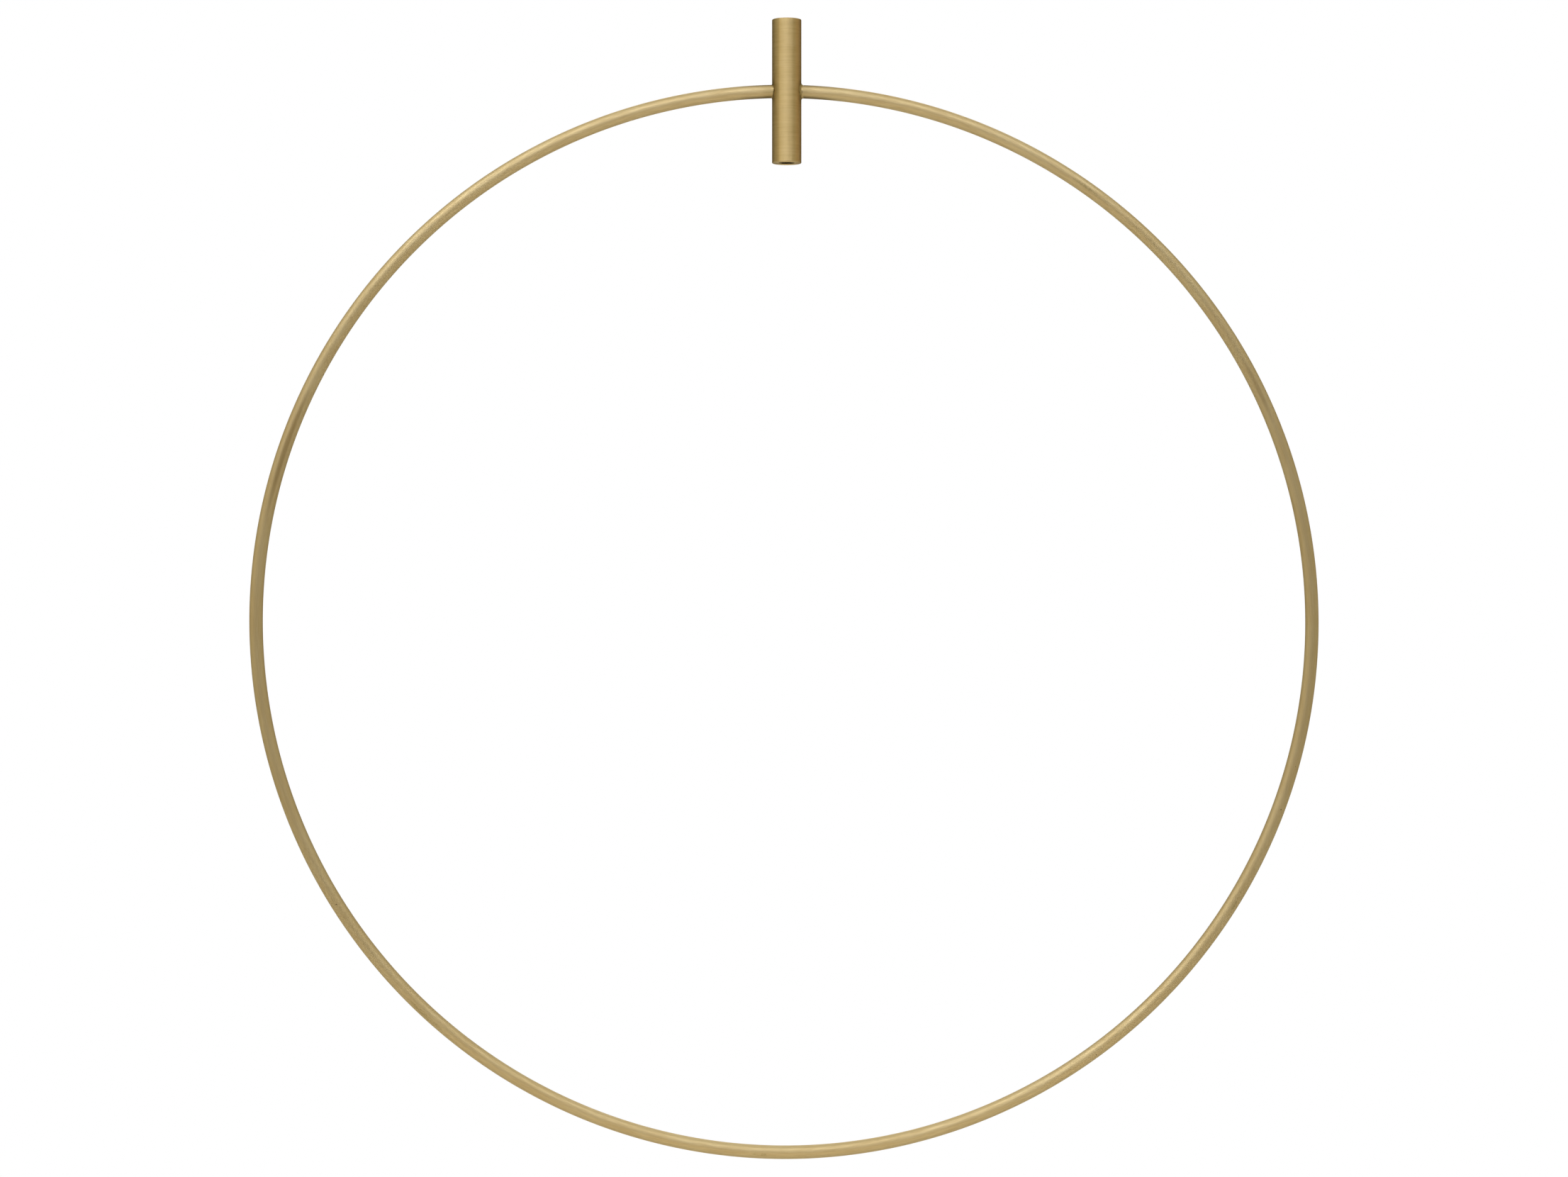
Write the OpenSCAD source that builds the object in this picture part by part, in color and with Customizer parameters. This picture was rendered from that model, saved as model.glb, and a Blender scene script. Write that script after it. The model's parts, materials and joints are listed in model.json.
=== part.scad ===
// A hanging wreath frame of brass: a thin round hoop of rod, closed at the top by a
// short upright sleeve that is drilled through. The hoop's two ends are cut to fit the
// sleeve's sides and are brazed there.
//
// Millimetres. +Z is up, and the hoop stands in the XZ plane. The origin is on the
// sleeve's axis at the middle of its length, where the hoop's centreline crosses it.

/* [Hoop] */
// Outer diameter of the hoop
hoop_outer_d = 400; // [150:5:800]
// Diameter of the round rod that the hoop is rolled from
rod_d = 5; // [3:0.5:6]

/* [Sleeve] */
// Outer diameter of the sleeve
sleeve_d = 11; // [10:0.5:20]
// Length of the sleeve
sleeve_l = 54; // [30:1:120]
// Diameter of the hole through the sleeve
bore_d = 6; // [3:0.5:7]
// Chamfer that breaks the sleeve's outer edges
edge_chamfer = 0.3; // [0.1:0.1:0.6]
// Chamfer that breaks the two mouths of the hole
mouth_chamfer = 0.25; // [0.1:0.05:0.6]

/* [Braze] */
// Length that the left fillet reaches along the rod and up the sleeve
left_leg = 0.6; // [0.4:0.1:1.5]
// Length that the right fillet reaches along the rod and up the sleeve
right_leg = 1; // [0.4:0.1:1.5]

/* [Hidden] */
$fn = 96;

hoop_brass = [0.63, 0.54, 0.33];
sleeve_brass = [0.68, 0.59, 0.38];
braze_brass = [0.58, 0.47, 0.27];

rod_r = rod_d / 2;
sleeve_r = sleeve_d / 2;
bore_r = bore_d / 2;
// Radius of the circle that the rod's centreline follows
hoop_r = hoop_outer_d / 2 - rod_r;
// How far from the top each end of the rod lies before it is cut to fit the sleeve
end_swing = asin(sleeve_r / 2 / hoop_r);
// Turns the rod's section so that its outline starts at the front of the hoop
section_turn = 90;

// Where a fillet's hollow comes nearest to its corner, as a share of its leg
hollow_share = 0.2;
// Points round the rod, and steps across the hollow
fillet_turns = 48;
fillet_steps = 5;

// The fillets are worked out in the hoop's own terms: s is the distance along its
// centreline from the top, q the distance out from that centreline, and turn the
// direction round it, with 0 pointing away from the hoop's centre.

// The point in space at s, q and turn
function on_hoop(s, q, turn) =
    let (swing = s / hoop_r * 180 / PI)
    let (reach = hoop_r + q * cos(turn))
    [reach * sin(swing), q * sin(turn), reach * cos(swing) - hoop_r];

// The s at which a line along the hoop at q and turn meets the sleeve's side
function sleeve_side(q, turn) =
    let (x = sqrt(sleeve_r * sleeve_r - pow(q * sin(turn), 2)))
    asin(x / (hoop_r + q * cos(turn))) * PI / 180 * hoop_r;

// The point at t from 0 to 1 on the curve from a to b that k pulls towards itself
function pulled_curve(a, k, b, t) = (1 - t) * (1 - t) * a + 2 * t * (1 - t) * k + t * t * b;

// The fillet's section in one direction, as [s, q] points: its hollow, then its corner
function fillet_section(leg, turn) =
    let (corner = [sleeve_side(rod_r, turn), rod_r])
    let (rod_toe = corner + [leg, 0])
    let (sleeve_toe = [sleeve_side(rod_r + leg, turn), rod_r + leg])
    let (hollow = corner + hollow_share * leg * [1, 1])
    [
        for (i = [0 : fillet_steps])
            pulled_curve(rod_toe, hollow, sleeve_toe, i / fillet_steps),
        [sleeve_side(rod_r + leg / 2, turn), rod_r + leg / 2],
        corner
    ];

// The sections' points in space, one section after another round the rod
function fillet_points(leg) = [
    for (n = [0 : fillet_turns - 1])
        let (turn = 360 * n / fillet_turns)
        for (p = fillet_section(leg, turn)) on_hoop(p[0], p[1], turn)
];

// The triangles that close a ring of sections, each with the same number of points
function ring_faces(sections, points) = [
    for (n = [0 : sections - 1], p = [0 : points - 1])
        let (here = n * points)
        let (next = (n + 1) % sections * points)
        let (q = (p + 1) % points)
        for (face = [[here + p, next + q, here + q], [here + p, next + p, next + q]]) face
];

module fillet_ring(leg) {
    points = fillet_points(leg);
    polyhedron(points = points, faces = ring_faces(fillet_turns, len(points) / fillet_turns));
}

module hoop() {
    color(hoop_brass)
        difference() {
            translate([0, 0, -hoop_r])
                rotate([90, 0, 0])
                    rotate_extrude(start = 90 + end_swing, angle = 360 - 2 * end_swing)
                        translate([hoop_r, 0])
                            rotate(section_turn)
                                circle(r = rod_r);
            cylinder(r = sleeve_r, h = sleeve_l, center = true);
        }
}

module sleeve() {
    end = sleeve_l / 2;
    color(sleeve_brass)
        rotate_extrude()
            polygon([
                [bore_r, mouth_chamfer - end],
                [bore_r + mouth_chamfer, -end],
                [sleeve_r - edge_chamfer, -end],
                [sleeve_r, edge_chamfer - end],
                [sleeve_r, end - edge_chamfer],
                [sleeve_r - edge_chamfer, end],
                [bore_r + mouth_chamfer, end],
                [bore_r, end - mouth_chamfer]
            ]);
}

module braze_left() {
    color(braze_brass)
        mirror([1, 0, 0])
            fillet_ring(left_leg);
}

module braze_right() {
    color(braze_brass)
        fillet_ring(right_leg);
}

hoop();
sleeve();
braze_left();
braze_right();
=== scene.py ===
"""The looks of a hanging wreath frame: a brushed brass hoop, its drilled sleeve and the two brazed joints."""

import json
import math

import bpy
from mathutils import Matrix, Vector, noise


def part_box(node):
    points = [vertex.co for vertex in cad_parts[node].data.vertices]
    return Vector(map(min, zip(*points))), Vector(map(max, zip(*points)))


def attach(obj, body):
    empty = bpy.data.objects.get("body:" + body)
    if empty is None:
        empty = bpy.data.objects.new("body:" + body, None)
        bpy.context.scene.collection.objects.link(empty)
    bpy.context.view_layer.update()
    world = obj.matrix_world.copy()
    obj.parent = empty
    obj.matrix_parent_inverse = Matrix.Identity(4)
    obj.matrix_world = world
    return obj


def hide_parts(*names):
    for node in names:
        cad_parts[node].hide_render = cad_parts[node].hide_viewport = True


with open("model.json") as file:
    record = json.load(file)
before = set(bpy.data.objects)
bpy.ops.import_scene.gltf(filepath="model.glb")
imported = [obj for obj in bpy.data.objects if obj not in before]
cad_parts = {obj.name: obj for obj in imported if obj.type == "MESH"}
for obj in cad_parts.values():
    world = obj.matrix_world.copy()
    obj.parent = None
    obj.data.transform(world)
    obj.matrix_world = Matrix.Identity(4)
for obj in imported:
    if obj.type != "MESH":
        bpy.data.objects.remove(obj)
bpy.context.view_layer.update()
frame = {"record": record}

MM = 0.001

# Sizes from the frame, in metres
sleeve_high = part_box("sleeve")[1]
hoop_low, hoop_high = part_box("hoop")
bore = next(m for m in frame["record"]["mounts"] if m["kind"] == "bore")
SLEEVE_R = min(sleeve_high.x, sleeve_high.y)
SLEEVE_END = sleeve_high.z
BORE_R = bore["dims"]["r_mm"] * MM
MOUTH_CHAMFER = SLEEVE_END - bore["dims"]["length_mm"] * MM / 2
ROD_R = hoop_high.y
HOOP_R = hoop_high.x - ROD_R

# Small shapes of the real piece, in metres
EDGE_ROUND = 0.3 * MM
OUT_OF_ROUND = 0.8 * MM
LEFT_LEG = 0.42 * MM
RIGHT_LEG = 0.85 * MM

# A fillet's leg varies by the share LEG_WANDER, with more lumps as LEG_LUMPS rises. Its hollow lies
# HOLLOW_SHARE of a leg from its corner.
LEG_WANDER = 0.35
LEG_LUMPS = 1.3
HOLLOW_SHARE = 0.05

# How finely the shapes are divided. SUPPORT is the gap to the extra ring beside a rounded edge, in metres,
# and END_REACH is how far the finer ends of the rod run, in sleeve radii.
SHARP_ANGLE = 50
SUPPORT = 0.05 * MM
END_REACH = 1.6
ROD_SIDES = 56
HOOP_STEPS = 720
END_STEPS = 14
CAP_RINGS = 5
SLEEVE_SIDES = 160
ROUND_STEPS = 6
FILLET_TURNS = 120
FILLET_STEPS = 8
FLOOR_SIDES = 128

# Where the camera stands from the middle of the hoop, in degrees, metres and millimetres of lens, and how far
# its aim lies from that middle, in metres
CAMERA_AZIMUTH = -2.7
CAMERA_ELEVATION = -2.25
CAMERA_DISTANCE = 1.752
CAMERA_LENS = 108.1
AIM_RIGHT = -0.00102
AIM_UP = 0.0114

# Marks on the front of the hoop: clockwise degrees from the top, and millimetres out from the centreline.
# Pits add a radius in millimetres; the others add half a length in degrees and half a width in millimetres.
PITS = (
    (111.0, 0.7, 0.30),
    (106.1, 0.9, 0.20),
    (134.0, 1.05, 0.26),
    (139.5, 0.95, 0.18),
    (144.6, 1.15, 0.30),
    (237.6, 0.35, 0.32),
)
DULL_PATCHES = (
    (34.6, -0.3, 2.0, 0.8),
    (222.3, 1.3, 3.6, 1.1),
    (182.8, 0.9, 1.2, 0.6),
    (122.5, 0.9, 1.0, 0.6),
)
# Stains end with their strength.
STAINS = (
    (288.5, -0.4, 8.5, 1.3, 0.5),
    (64.0, -0.3, 4.5, 1.1, 0.25),
)

# The heat's marks beside the joints, and the rod's dark edges there that are partly painted shade, in metres
# from where the hoop's line meets the sleeve's side
TINT_FULL = 2.4 * MM
SLEEVE_TINT_END = 6.0 * MM
ROD_TINT_END = 5.5 * MM
SCALE_SHADE_FULL = 3.0 * MM
SCALE_SHADE_END = 20 * MM

# The rod's dark edge by the joints, partly heat scale and partly painted shade, starts this far out from the
# rod's centreline, in millimetres.
SCALE_SHADE_FROM = 1.5

# Painted shade: a warmer, darker tone on the sleeve's right side, which is turned from the key light, in
# metres to the right of its axis
SHADED_SIDE_FROM = 2.2 * MM
SHADED_SIDE_FULL = 4.2 * MM

# Colours of the metal, and of the painted shade on it
HOOP_BRASS = (0.745, 0.61, 0.36, 1)
HOOP_PALE = (0.79, 0.68, 0.44, 1)
HOOP_DARK = (0.59, 0.45, 0.23, 1)
SLEEVE_BRASS = (0.765, 0.60, 0.31, 1)
SLEEVE_PALE = (0.815, 0.655, 0.38, 1)
SLEEVE_DARK = (0.56, 0.41, 0.19, 1)
# painted shade for the sleeve's right side
SHADED_SIDE_TONE = (0.85, 0.50, 0.20, 1)
HEAT_TINT = (0.34, 0.25, 0.09, 1)
TARNISH = (0.36, 0.29, 0.12, 1)
STAIN = (0.36, 0.23, 0.08, 1)
PIT = (0.10, 0.06, 0.03, 1)
FILLER = (0.66, 0.51, 0.26, 1)
TOE_BRASS = (0.65, 0.52, 0.29, 1)
# the dark of the painted shade in the gap by the fillets, and of the rod's edges by the joints, which are
# partly heat scale
SCALE_AND_SHADE = (0.11, 0.08, 0.03, 1)

# The light: lamps in watts, and the room's strength beside the object and behind it
KEY_POWER = 7.9
WARM = (1.0, 0.72, 0.25)
ROOM_COLOUR = (1.0, 0.90, 0.60, 1)
ROOM_STRENGTH = 0.44
ROOM_REAR = 0.35

# The floor, in metres
FLOOR_DROP = 0.55
FLOOR_RADIUS = 4.5
FLOOR_THICK = 0.02


# ---- meshes -----------------------------------------------------------------------


def skin(name, rings, closed):
    """A closed mesh of quads over rings of points; closed joins the last ring to the first."""
    sides = len(rings[0])
    points = [p for ring in rings for p in ring]
    faces = []
    last = len(rings) if closed else len(rings) - 1
    for i in range(last):
        here = i * sides
        there = (i + 1) % len(rings) * sides
        for j in range(sides):
            k = (j + 1) % sides
            faces.append((here + j, here + k, there + k, there + j))
    if not closed:
        for ring, start in ((rings[0], 0), (rings[-1], (len(rings) - 1) * sides)):
            middle = sum((Vector(p) for p in ring), Vector()) / sides
            points.append(tuple(middle))
            pole = len(points) - 1
            for j in range(sides):
                k = (j + 1) % sides
                faces.append((start + k, start + j, pole) if start == 0 else (start + j, start + k, pole))
    mesh = bpy.data.meshes.new(name)
    mesh.from_pydata(points, [], faces)
    mesh.validate()
    if volume(mesh) < 0:
        mesh.flip_normals()
    mesh.shade_smooth()
    mesh.set_sharp_from_angle(angle=math.radians(SHARP_ANGLE))
    piece = bpy.data.objects.new(name, mesh)
    bpy.context.scene.collection.objects.link(piece)
    return piece


def volume(mesh):
    """The signed volume inside a closed mesh."""
    total = 0.0
    for face in mesh.polygons:
        corners = [mesh.vertices[i].co for i in face.vertices]
        for a, b in zip(corners[1:-1], corners[2:]):
            total += corners[0].dot(a.cross(b))
    return total / 6


def on_hoop(along, out, turn):
    """The point at a distance along the hoop from its top, and out from the rod's centreline."""
    swing = along / HOOP_R
    reach = HOOP_R - OUT_OF_ROUND * math.sin(swing) ** 2 + out * math.cos(turn)
    return (reach * math.sin(swing), out * math.sin(turn), reach * math.cos(swing) - HOOP_R)


def sleeve_side(out, turn):
    """How far along the hoop a line at that distance and direction from its centreline meets the sleeve."""
    x = math.sqrt(SLEEVE_R**2 - (out * math.sin(turn)) ** 2)
    return math.asin(x / (HOOP_R + out * math.cos(turn))) * HOOP_R


def make_hoop():
    """The rod, rolled to a circle, with both ends cut to fit the sleeve's side."""
    turns = [2 * math.pi * j / ROD_SIDES for j in range(ROD_SIDES)]
    girth = 2 * math.pi * HOOP_R
    cut = SLEEVE_R * END_REACH
    rings = []
    for i in range(1, CAP_RINGS):
        out = ROD_R * i / CAP_RINGS
        rings.append([on_hoop(sleeve_side(out, t), out, t) for t in turns])
    for i in range(END_STEPS):
        share = i / END_STEPS
        ring = []
        for t in turns:
            seam = sleeve_side(ROD_R, t)
            ring.append(on_hoop(seam + (cut - seam) * share, ROD_R, t))
        rings.append(ring)
    half = HOOP_STEPS // 2
    for i in range(half + 1):
        along = cut + (girth / 2 - cut) * i / half
        rings.append([on_hoop(along, ROD_R, t) for t in turns])
    rings += [[(-x, y, z) for x, y, z in ring] for ring in reversed(rings[:-1])]
    return skin("hoop_rod", rings, closed=False)


def arc(centre, radius, start, end, steps):
    """Points on a circular arc in the sleeve's section, from one angle to the other, in degrees."""
    found = []
    for i in range(steps + 1):
        a = math.radians(start + (end - start) * i / steps)
        found.append((centre[0] + radius * math.cos(a), centre[1] + radius * math.sin(a)))
    return found


def sleeve_section():
    """The half section of the sleeve's wall, as (out from the axis, up) points, anticlockwise."""
    e = EDGE_ROUND
    m = MOUTH_CHAMFER
    upper = [(SLEEVE_R, SLEEVE_END - e - SUPPORT)]
    upper += arc((SLEEVE_R - e, SLEEVE_END - e), e, 0, 90, ROUND_STEPS)
    upper += [(SLEEVE_R - e - SUPPORT, SLEEVE_END), (BORE_R + m + SUPPORT, SLEEVE_END)]
    upper += arc((BORE_R + m, SLEEVE_END - m), m, 90, 180, ROUND_STEPS)
    upper += [(BORE_R, SLEEVE_END - m - SUPPORT)]
    lower = [(r, -z) for r, z in reversed(upper)]
    return upper + lower


def make_sleeve():
    """The drilled sleeve, turned from bar."""
    section = sleeve_section()
    rings = []
    for i in range(SLEEVE_SIDES):
        a = 2 * math.pi * i / SLEEVE_SIDES
        rings.append([(r * math.cos(a), r * math.sin(a), z) for r, z in section])
    return skin("sleeve_tube", rings, closed=True)


def make_braze(name, leg, side, seed):
    """A ring of filler metal in the corner between the rod and the sleeve, on the +X side or mirrored."""
    rings = []
    for i in range(FILLET_TURNS):
        turn = 2 * math.pi * i / FILLET_TURNS
        where = Vector((math.cos(turn) * LEG_LUMPS, math.sin(turn) * LEG_LUMPS, seed))
        reach = leg * (1 + LEG_WANDER * noise.noise(where))
        seam = sleeve_side(ROD_R, turn)
        rod_toe = Vector((seam + reach, ROD_R))
        sleeve_toe = Vector((sleeve_side(ROD_R + reach, turn), ROD_R + reach))
        hollow = Vector((seam, ROD_R)) + Vector((1, 1)) * reach * HOLLOW_SHARE
        section = []
        for k in range(FILLET_STEPS + 1):
            t = k / FILLET_STEPS
            section.append((1 - t) ** 2 * rod_toe + 2 * t * (1 - t) * hollow + t**2 * sleeve_toe)
        section.append(Vector((sleeve_side(ROD_R + reach / 2, turn), ROD_R + reach / 2)))
        section.append(Vector((seam, ROD_R)))
        ring = [on_hoop(p.x, p.y, turn) for p in section]
        rings.append([(side * x, y, z) for x, y, z in ring])
    return skin(name, rings, closed=True)


# ---- materials --------------------------------------------------------------------


class Nodes:
    """A short way to add nodes to one material and join them."""

    def __init__(self, name):
        self.material = bpy.data.materials.new(name)
        self.material.use_nodes = True
        self.tree = self.material.node_tree
        self.shader = self.tree.nodes["Principled BSDF"]

    def put(self, socket, value):
        if isinstance(value, bpy.types.NodeSocket):
            self.tree.links.new(value, socket)
        else:
            socket.default_value = value

    def math(self, operation, *values, clamp=False):
        node = self.tree.nodes.new("ShaderNodeMath")
        node.operation = operation
        node.use_clamp = clamp
        for socket, value in zip(node.inputs, values):
            self.put(socket, value)
        return node.outputs[0]

    def combine(self, x, y, z):
        node = self.tree.nodes.new("ShaderNodeCombineXYZ")
        for socket, value in zip(node.inputs, (x, y, z)):
            self.put(socket, value)
        return node.outputs[0]

    def split(self, vector):
        node = self.tree.nodes.new("ShaderNodeSeparateXYZ")
        self.put(node.inputs[0], vector)
        return node.outputs

    def place(self):
        return self.tree.nodes.new("ShaderNodeTexCoord").outputs["Object"]

    def noise(self, vector, scale, detail=2.0, rough=0.5):
        node = self.tree.nodes.new("ShaderNodeTexNoise")
        self.put(node.inputs["Vector"], vector)
        node.inputs["Scale"].default_value = scale
        node.inputs["Detail"].default_value = detail
        node.inputs["Roughness"].default_value = rough
        return node.outputs["Fac"]

    def far(self, vector, centre):
        """The distance from a point to a fixed centre."""
        node = self.tree.nodes.new("ShaderNodeVectorMath")
        node.operation = "DISTANCE"
        self.put(node.inputs[0], vector)
        node.inputs[1].default_value = centre
        return node.outputs["Value"]

    def ramp(self, value, low, high, to_low=0.0, to_high=1.0):
        node = self.tree.nodes.new("ShaderNodeMapRange")
        node.interpolation_type = "SMOOTHSTEP"
        for socket, v in zip(node.inputs, (value, low, high, to_low, to_high)):
            self.put(socket, v)
        return node.outputs[0]

    def blend(self, share, a, b):
        node = self.tree.nodes.new("ShaderNodeMix")
        node.data_type = "RGBA"
        self.put(node.inputs["Factor"], share)
        self.put(node.inputs["A"], a)
        self.put(node.inputs["B"], b)
        return node.outputs["Result"]

    def bump(self, height, strength, distance):
        node = self.tree.nodes.new("ShaderNodeBump")
        node.inputs["Strength"].default_value = strength
        node.inputs["Distance"].default_value = distance
        self.put(node.inputs["Height"], height)
        return node.outputs[0]

    def brushed(self, axis, anisotropy):
        """Spreads the gloss across lines that run round an axis."""
        node = self.tree.nodes.new("ShaderNodeTangent")
        node.direction_type = "RADIAL"
        node.axis = axis
        self.put(self.shader.inputs["Tangent"], node.outputs[0])
        self.shader.inputs["Anisotropic"].default_value = anisotropy
        self.shader.inputs["Anisotropic Rotation"].default_value = 0.25


def sleeve_brass():
    """Brushed brass with fine lines round the sleeve, heat tinted by the joints, and with painted shade that
    makes it warmer and darker on its right.
    """
    n = Nodes("brushed_brass")
    x, y, z = n.split(n.place())
    fine_at = n.combine(n.math("MULTIPLY", x, 70), n.math("MULTIPLY", y, 70), n.math("MULTIPLY", z, 3600))
    fine = n.noise(fine_at, 1.0, 3.0, 0.6)
    broad_at = n.combine(
        n.math("MULTIPLY", x, 130), n.math("MULTIPLY", y, 130), n.math("MULTIPLY", z, 1000)
    )
    broad = n.noise(broad_at, 1.0, 2.0, 0.5)
    patch = n.noise(n.place(), 190, 2.0, 0.5)
    joint = n.far(n.combine(n.math("ABSOLUTE", x), y, z), (SLEEVE_R, 0, 0))
    worn_end = n.ramp(n.math("ABSOLUTE", z), SLEEVE_END - 0.5 * MM, SLEEVE_END - 0.2 * MM)
    colour = n.blend(n.ramp(broad, 0.35, 0.7, 0.0, 0.22), SLEEVE_BRASS, SLEEVE_DARK)
    colour = n.blend(n.ramp(fine, 0.5, 0.75, 0.0, 0.3), colour, SLEEVE_DARK)
    colour = n.blend(n.ramp(patch, 0.45, 0.7, 0.0, 0.3), colour, SLEEVE_PALE)
    # painted shade: the sleeve's right side, turned from the key light, tinted warmer and darker
    colour = n.blend(n.ramp(x, SHADED_SIDE_FROM, SHADED_SIDE_FULL, 0.0, 0.4), colour, SHADED_SIDE_TONE)
    colour = n.blend(n.ramp(joint, TINT_FULL, SLEEVE_TINT_END, 0.55, 0.0), colour, HEAT_TINT)
    colour = n.blend(n.math("MULTIPLY", worn_end, 0.5), colour, SLEEVE_PALE)
    n.put(n.shader.inputs["Base Color"], colour)
    n.shader.inputs["Metallic"].default_value = 1.0
    n.brushed("Z", 0.84)
    n.put(n.shader.inputs["Roughness"], n.ramp(fine, 0.3, 0.7, 0.45, 0.53))
    n.put(n.shader.inputs["Normal"], n.bump(n.math("ADD", fine, broad), 0.1, 0.04 * MM))
    return n.material


def bore_shade():
    """The drilled wall, painted near black as painted shade deep inside the bore."""
    n = Nodes("bore_shade")
    mottle = n.noise(n.place(), 700, 3.0, 0.6)
    n.put(n.shader.inputs["Base Color"], n.blend(mottle, (0.02, 0.014, 0.008, 1), (0.07, 0.045, 0.02, 1)))
    n.shader.inputs["Metallic"].default_value = 0.6
    n.put(n.shader.inputs["Roughness"], n.ramp(mottle, 0.3, 0.7, 0.5, 0.7))
    return n.material


def hoop_brass():
    """Satin brass with fine grain along the rod, small pits, dull patches and stains."""
    n = Nodes("satin_brass")
    x, y, z = n.split(n.place())
    down = n.math("SUBTRACT", -HOOP_R, z)
    swing = n.math("ARCTAN2", x, down)
    reach = n.math("SQRT", n.math("ADD", n.math("MULTIPLY", x, x), n.math("MULTIPLY", down, down)))
    squash = n.math("MULTIPLY", n.math("POWER", n.math("SINE", swing), 2.0), OUT_OF_ROUND)
    out = n.math("ADD", n.math("SUBTRACT", reach, HOOP_R), squash)

    # clockwise degrees from the top, then millimetres out from the centreline and to the rear
    degrees = n.math("SUBTRACT", 180.0, n.math("DEGREES", swing))
    out_mm = n.math("DIVIDE", out, MM)
    rear_mm = n.math("DIVIDE", y, MM)
    grain = n.noise(n.combine(n.math("MULTIPLY", degrees, 0.22), out_mm, rear_mm), 2.4, 3.0, 0.6)
    patch = n.noise(n.combine(n.math("MULTIPLY", degrees, 0.9), out_mm, rear_mm), 0.24, 2.0, 0.5)
    mottle = n.noise(n.place(), 1500, 2.0, 0.6)

    def mark(degree, outward, long, wide):
        """A soft oval on the front of the rod, 1 in its middle and 0 outside."""
        front = -math.sqrt((ROD_R / MM) ** 2 - outward**2)
        here = n.combine(n.math("DIVIDE", degrees, long), n.math("DIVIDE", out_mm, wide), rear_mm)
        return n.ramp(n.far(here, (degree / long, outward / wide, front)), 0.35, 1.0, 1.0, 0.0)

    colour = n.blend(n.ramp(grain, 0.35, 0.7, 0.0, 0.3), HOOP_BRASS, HOOP_DARK)
    colour = n.blend(n.ramp(patch, 0.4, 0.7, 0.0, 0.35), colour, HOOP_PALE)
    for stain in STAINS:
        colour = n.blend(n.math("MULTIPLY", mark(*stain[:4]), stain[4]), colour, STAIN)
    for dull in DULL_PATCHES:
        share = n.math("MULTIPLY", mark(*dull), n.ramp(mottle, 0.35, 0.65, 0.1, 0.5))
        colour = n.blend(share, colour, TARNISH)
    pits = 0.0
    degree_mm = math.radians(1) * HOOP_R / MM
    for degree, outward, radius in PITS:
        pits = n.math("MAXIMUM", pits, mark(degree, outward, radius / degree_mm, radius))
    colour = n.blend(n.math("MULTIPLY", pits, 0.75), colour, PIT)
    joint = n.far(n.combine(n.math("ABSOLUTE", x), y, z), (SLEEVE_R, 0, 0))
    colour = n.blend(n.ramp(joint, TINT_FULL, ROD_TINT_END, 0.25, 0.0), colour, HEAT_TINT)

    # dark edges on the rod's top and bottom by the joints: partly heat scale, partly painted shade standing
    # for the sleeve and the dim room reflected at the rod's edges
    scale_and_shade = n.ramp(n.math("ABSOLUTE", out_mm), SCALE_SHADE_FROM, ROD_R / MM, 0.0, 0.8)
    scale_and_shade = n.math("MULTIPLY", scale_and_shade, n.ramp(joint, SCALE_SHADE_FULL, SCALE_SHADE_END, 1.0, 0.0))
    colour = n.blend(scale_and_shade, colour, SCALE_AND_SHADE)
    n.put(n.shader.inputs["Base Color"], colour)
    n.shader.inputs["Metallic"].default_value = 1.0
    n.brushed("Y", 0.5)
    n.put(n.shader.inputs["Roughness"], n.ramp(grain, 0.3, 0.7, 0.53, 0.62))
    n.put(n.shader.inputs["Normal"], n.bump(n.math("SUBTRACT", 1.0, pits), 0.4, 0.05 * MM))
    return n.material


def braze_brass(name, seam):
    """Filler metal, filed smooth; seam is how strong the painted shade in the gap beside the sleeve is."""
    n = Nodes(name)
    x, y, z = n.split(n.place())
    mottle = n.noise(n.place(), 1100, 3.0, 0.6)
    reach = n.math("SQRT", n.math("ADD", n.math("MULTIPLY", x, x), n.math("MULTIPLY", y, y)))
    gap = n.math("SUBTRACT", reach, SLEEVE_R)
    # the filler turns darker towards its top
    darker_top = n.ramp(z, 1.4 * MM, 2.8 * MM, 0.0, 0.6)
    colour = n.blend(n.ramp(mottle, 0.35, 0.7, 0.2, 0.8), FILLER, HEAT_TINT)
    colour = n.blend(n.ramp(gap, 0.25 * MM, 0.8 * MM), colour, TOE_BRASS)
    colour = n.blend(darker_top, colour, HEAT_TINT)
    # painted shade: a dark, broken line in the gap between the fillet and the sleeve, weaker towards the top
    strength = n.ramp(z, 0.0, 2.0 * MM, seam, seam * 0.6)
    broken = n.math("MULTIPLY", n.ramp(mottle, 0.4, 0.6, 0.45, 1.0), strength)
    line = n.math("MULTIPLY", broken, n.ramp(gap, 0.08 * MM, 0.28 * MM, 1.0, 0.0))
    colour = n.blend(line, colour, SCALE_AND_SHADE)
    n.put(n.shader.inputs["Base Color"], colour)
    n.shader.inputs["Metallic"].default_value = 1.0
    n.put(n.shader.inputs["Roughness"], n.ramp(mottle, 0.3, 0.7, 0.44, 0.54))
    n.put(n.shader.inputs["Normal"], n.bump(mottle, 0.15, 0.08 * MM))
    return n.material


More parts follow.
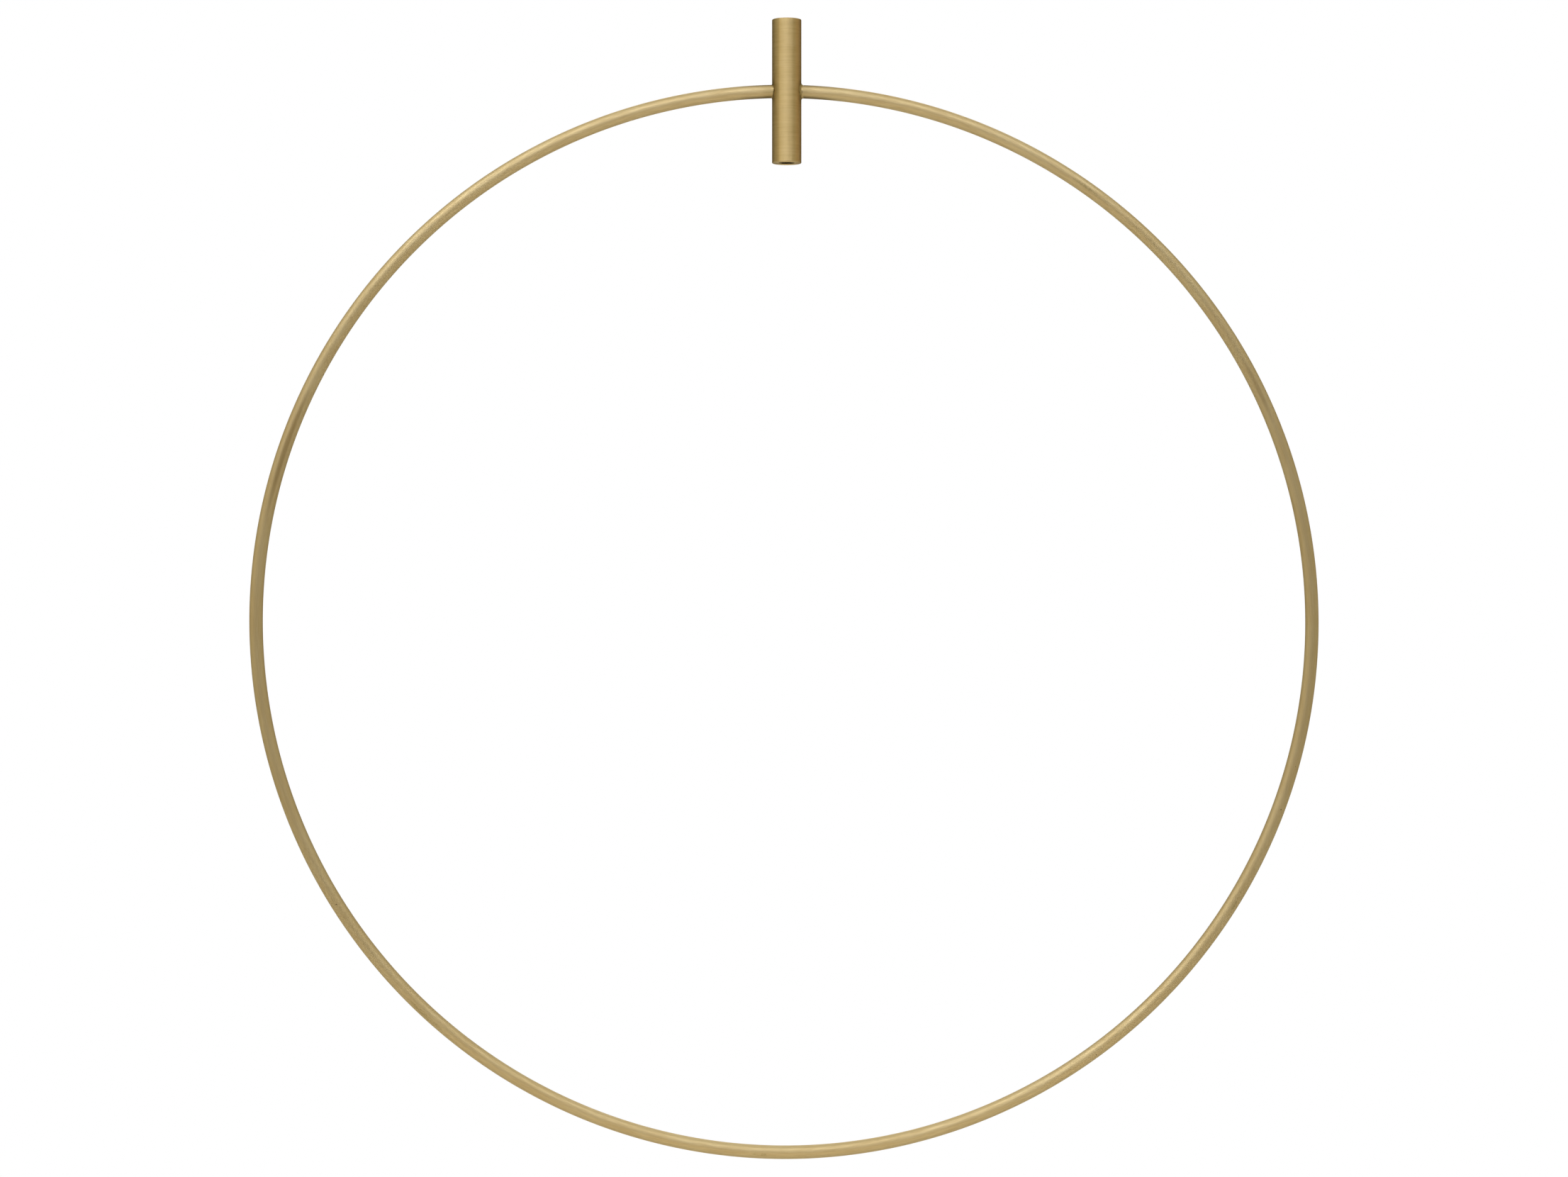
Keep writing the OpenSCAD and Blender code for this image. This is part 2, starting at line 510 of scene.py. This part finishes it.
def floor_paper():
    """Pale paper that the camera sees fade to plain white far from the object."""
    n = Nodes("floor_paper")
    x, y, z = n.split(n.place())
    away = n.math("SQRT", n.math("ADD", n.math("MULTIPLY", x, x), n.math("MULTIPLY", y, y)))
    n.shader.inputs["Base Color"].default_value = (0.84, 0.84, 0.84, 1)
    n.shader.inputs["Roughness"].default_value = 0.9
    glow = n.tree.nodes.new("ShaderNodeEmission")
    seen = n.tree.nodes.new("ShaderNodeLightPath").outputs["Is Camera Ray"]
    mix = n.tree.nodes.new("ShaderNodeMixShader")
    n.put(mix.inputs[0], n.math("MULTIPLY", seen, n.ramp(away, 0.0, FLOOR_RADIUS * 0.8, 0.7, 1.0)))
    n.tree.links.new(n.shader.outputs[0], mix.inputs[1])
    n.tree.links.new(glow.outputs[0], mix.inputs[2])
    n.tree.links.new(mix.outputs[0], n.tree.nodes["Material Output"].inputs["Surface"])
    return n.material


# ---- camera, light and floor ------------------------------------------------------


def aim(thing, target):
    """Turns a camera or lamp to face a point."""
    thing.rotation_euler = (Vector(target) - thing.location).to_track_quat("-Z", "Y").to_euler()


def direction(azimuth, elevation):
    """The unit vector from the object to a place seen at that azimuth and elevation, in degrees."""
    a = math.radians(azimuth)
    e = math.radians(elevation)
    return Vector((math.sin(a) * math.cos(e), -math.cos(a) * math.cos(e), math.sin(e)))


def make_camera():
    """The camera, a little below the hoop's middle and nearly square on."""
    middle = Vector((0, 0, -HOOP_R))
    camera = bpy.data.objects.new("camera", bpy.data.cameras.new("camera"))
    bpy.context.scene.collection.objects.link(camera)
    camera.location = middle + direction(CAMERA_AZIMUTH, CAMERA_ELEVATION) * CAMERA_DISTANCE
    aim(camera, middle + Vector((AIM_RIGHT, 0, AIM_UP)))
    camera.data.lens = CAMERA_LENS
    camera.data.clip_end = 100
    bpy.context.scene.camera = camera


def softbox(name, azimuth, elevation, distance, width, height, power, colour=(1, 1, 1)):
    """An area lamp that faces the hoop's middle: angles in degrees, sizes in metres, power in watts."""
    middle = Vector((0, 0, -HOOP_R))
    lamp = bpy.data.objects.new(name, bpy.data.lights.new(name, "AREA"))
    bpy.context.scene.collection.objects.link(lamp)
    lamp.location = middle + direction(azimuth, elevation) * distance
    aim(lamp, middle)
    lamp.data.shape = "RECTANGLE"
    lamp.data.size = width
    lamp.data.size_y = height
    lamp.data.energy = power
    lamp.data.color = colour
    lamp.visible_camera = False


def make_world():
    """White for the camera. For the metal, a dim warm room that is dark in front and dimmer behind."""
    world = bpy.data.worlds.new("studio")
    bpy.context.scene.world = world
    world.use_nodes = True
    tree = world.node_tree
    parts = tree.nodes.new("ShaderNodeSeparateXYZ")
    tree.links.new(tree.nodes.new("ShaderNodeTexCoord").outputs["Generated"], parts.inputs[0])
    strength = tree.nodes.new("ShaderNodeMath")
    strength.operation = "MULTIPLY"
    front = (-0.95, -0.55, 0.0, ROOM_STRENGTH)
    rear = (0.0, 0.7, 1.0, ROOM_REAR)
    for socket, values in zip(strength.inputs, (front, rear)):
        ramp = tree.nodes.new("ShaderNodeMapRange")
        ramp.interpolation_type = "SMOOTHSTEP"
        for end, value in zip(list(ramp.inputs)[1:5], values):
            end.default_value = value
        tree.links.new(parts.outputs["Y"], ramp.inputs[0])
        tree.links.new(ramp.outputs[0], socket)
    room = tree.nodes["Background"]
    room.inputs["Color"].default_value = ROOM_COLOUR
    tree.links.new(strength.outputs[0], room.inputs["Strength"])
    backdrop = tree.nodes.new("ShaderNodeBackground")
    backdrop.inputs["Color"].default_value = (1, 1, 1, 1)
    mix = tree.nodes.new("ShaderNodeMixShader")
    tree.links.new(tree.nodes.new("ShaderNodeLightPath").outputs["Is Camera Ray"], mix.inputs[0])
    tree.links.new(room.outputs[0], mix.inputs[1])
    tree.links.new(backdrop.outputs[0], mix.inputs[2])
    tree.links.new(mix.outputs[0], tree.nodes["World Output"].inputs["Surface"])


def make_lights():
    """Softboxes above the camera, one above and behind the object, and weak fills at the left and below."""
    softbox("key_middle", -10, 38, 2.6, 1.85, 0.85, KEY_POWER * 2.45)
    softbox("key_left", -50, 42, 2.6, 1.15, 1.3, KEY_POWER * 1.05)
    softbox("key_right", 31, 40, 2.6, 1.0, 1.0, KEY_POWER * 0.95)
    softbox("rear", 172, 45, 2.6, 2.0, 1.1, KEY_POWER * 1.3)
    softbox("fill_left", -60, 8, 1.8, 0.6, 0.6, 0.6, WARM)
    softbox("fill_low", 0, -50, 0.9, 1.2, 0.5, 1.2, WARM)


def make_floor():
    """A round slab of paper under the hanging hoop."""
    top = hoop_low.z - FLOOR_DROP
    turns = [2 * math.pi * i / FLOOR_SIDES for i in range(FLOOR_SIDES)]
    rings = []
    for z in (top, top - FLOOR_THICK):
        rings.append([(FLOOR_RADIUS * math.cos(t), FLOOR_RADIUS * math.sin(t), z) for t in turns])
    floor = skin("floor", rings, closed=False)
    floor.data.materials.append(floor_paper())


# ---- the object -------------------------------------------------------------------

make_camera()
make_world()
make_lights()
make_floor()

hoop = make_hoop()
hoop.data.materials.append(hoop_brass())
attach(hoop, "root")
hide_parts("hoop")

sleeve = make_sleeve()
sleeve.data.materials.append(sleeve_brass())
# the bore's wall is painted near black as painted shade
sleeve.data.materials.append(bore_shade())
# the bore's wall takes the second material
for face in sleeve.data.polygons:
    out = math.hypot(face.center.x, face.center.y)
    face.material_index = int(out < BORE_R + 0.02 * MM)
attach(sleeve, "root")
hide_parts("sleeve")

for node, leg, side, seed, seam in (
    ("braze_left", LEFT_LEG, -1, 3.0, 0.95),
    ("braze_right", RIGHT_LEG, 1, 8.0, 0.3),
):
    braze = make_braze(node + "_fillet", leg, side, seed)
    braze.data.materials.append(braze_brass(node + "_filler", seam))
    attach(braze, "root")
    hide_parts(node)

bpy.context.scene.view_settings.view_transform = "Standard"
